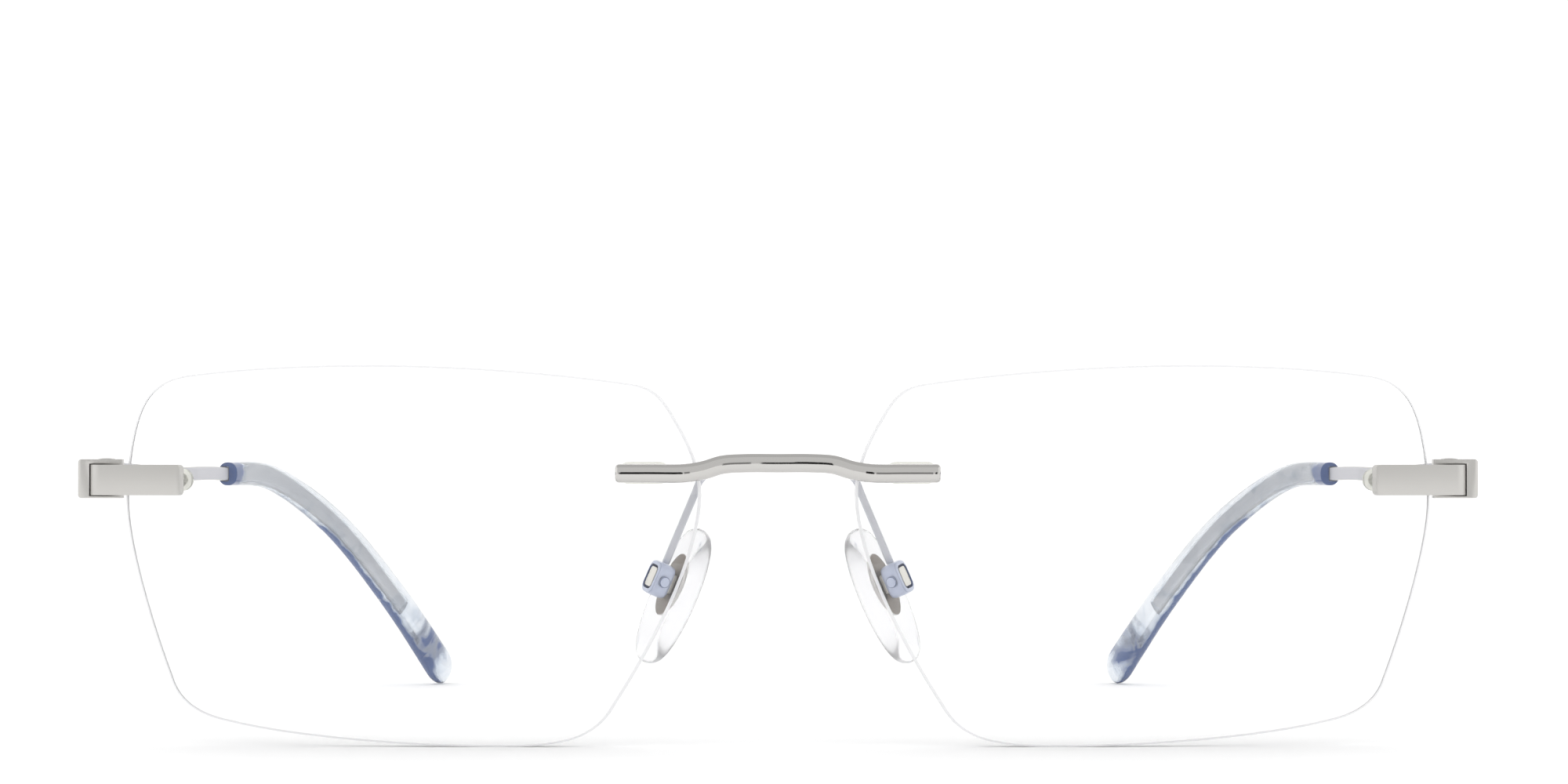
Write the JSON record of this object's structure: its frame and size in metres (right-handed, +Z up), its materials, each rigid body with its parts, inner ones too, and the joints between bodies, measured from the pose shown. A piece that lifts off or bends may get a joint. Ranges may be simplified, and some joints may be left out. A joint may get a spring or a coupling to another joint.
{
  "type": "rimless eyeglasses",
  "caption": "Rimless eyeglasses with drilled rectangular lenses, silver bridge and endpieces, folding temples and blue translucent tips.",
  "frame": {"origin": "on the surface that the glasses stand on, under the middle of their bounding box", "axes": "+X to the right as seen from the front, +Y from the lenses back to the temple tips, +Z up"},
  "size_m": [0.1402, 0.1321, 0.0378],
  "materials": {
    "lens_clear": "polished",
    "bushing_clear": "gloss",
    "pad_soft": "satin",
    "polished_silver": "polished",
    "satin_silver": "satin",
    "lavender_lacquer": "gloss",
    "tip_acetate": "gloss"
  },
  "bodies": {
    "front": {"bridge": "polished_silver", "lens_left": "lens_clear", "bridge_bushing_left": "bushing_clear", "endpiece_bushing_left": "bushing_clear", "lens_lug_left": "satin_silver", "endpiece_left": "satin_silver", "hinge_front_left": "polished_silver", "hinge_screw_left": "polished_silver", "pad_arm_left": "lavender_lacquer", "pad_box_left": "lavender_lacquer", "pad_pin_left": "polished_silver", "lens_right": "lens_clear", "bridge_bushing_right": "bushing_clear", "endpiece_bushing_right": "bushing_clear", "lens_lug_right": "satin_silver", "endpiece_right": "satin_silver", "hinge_front_right": "polished_silver", "hinge_screw_right": "polished_silver", "pad_arm_right": "lavender_lacquer", "pad_box_right": "lavender_lacquer", "pad_pin_right": "polished_silver"},
    "temple_arm_left": {"temple_left": "satin_silver", "temple_tip_left": "tip_acetate", "hinge_rear_left": "polished_silver"},
    "pad_left": {"nose_pad_left": "pad_soft", "pad_insert_left": "polished_silver"},
    "temple_arm_right": {"temple_right": "satin_silver", "temple_tip_right": "tip_acetate", "hinge_rear_right": "polished_silver"},
    "pad_right": {"nose_pad_right": "pad_soft", "pad_insert_right": "polished_silver"}
  },
  "joints": [
    {"name": "temple_hinge_right", "type": "hinge", "parent": "front", "child": "temple_arm_right", "pos_m": [0.0677, -0.05577, 0.0265], "axis": [0, 0, 1], "range_deg": [0, 78]},
    {"name": "temple_hinge_left", "type": "hinge", "parent": "front", "child": "temple_arm_left", "pos_m": [-0.0677, -0.05577, 0.0265], "axis": [0, 0, -1], "range_deg": [0, 69]},
    {"name": "pad_rock_right", "type": "hinge", "parent": "front", "child": "pad_right", "pos_m": [0.01206, -0.05721, 0.01647], "axis": [0.3882, 0.906, 0.1688], "range_deg": [-8, 8]},
    {"name": "pad_rock_left", "type": "hinge", "parent": "front", "child": "pad_left", "pos_m": [-0.01206, -0.05721, 0.01647], "axis": [0.3882, -0.906, -0.1688], "range_deg": [-8, 8]}
  ]
}
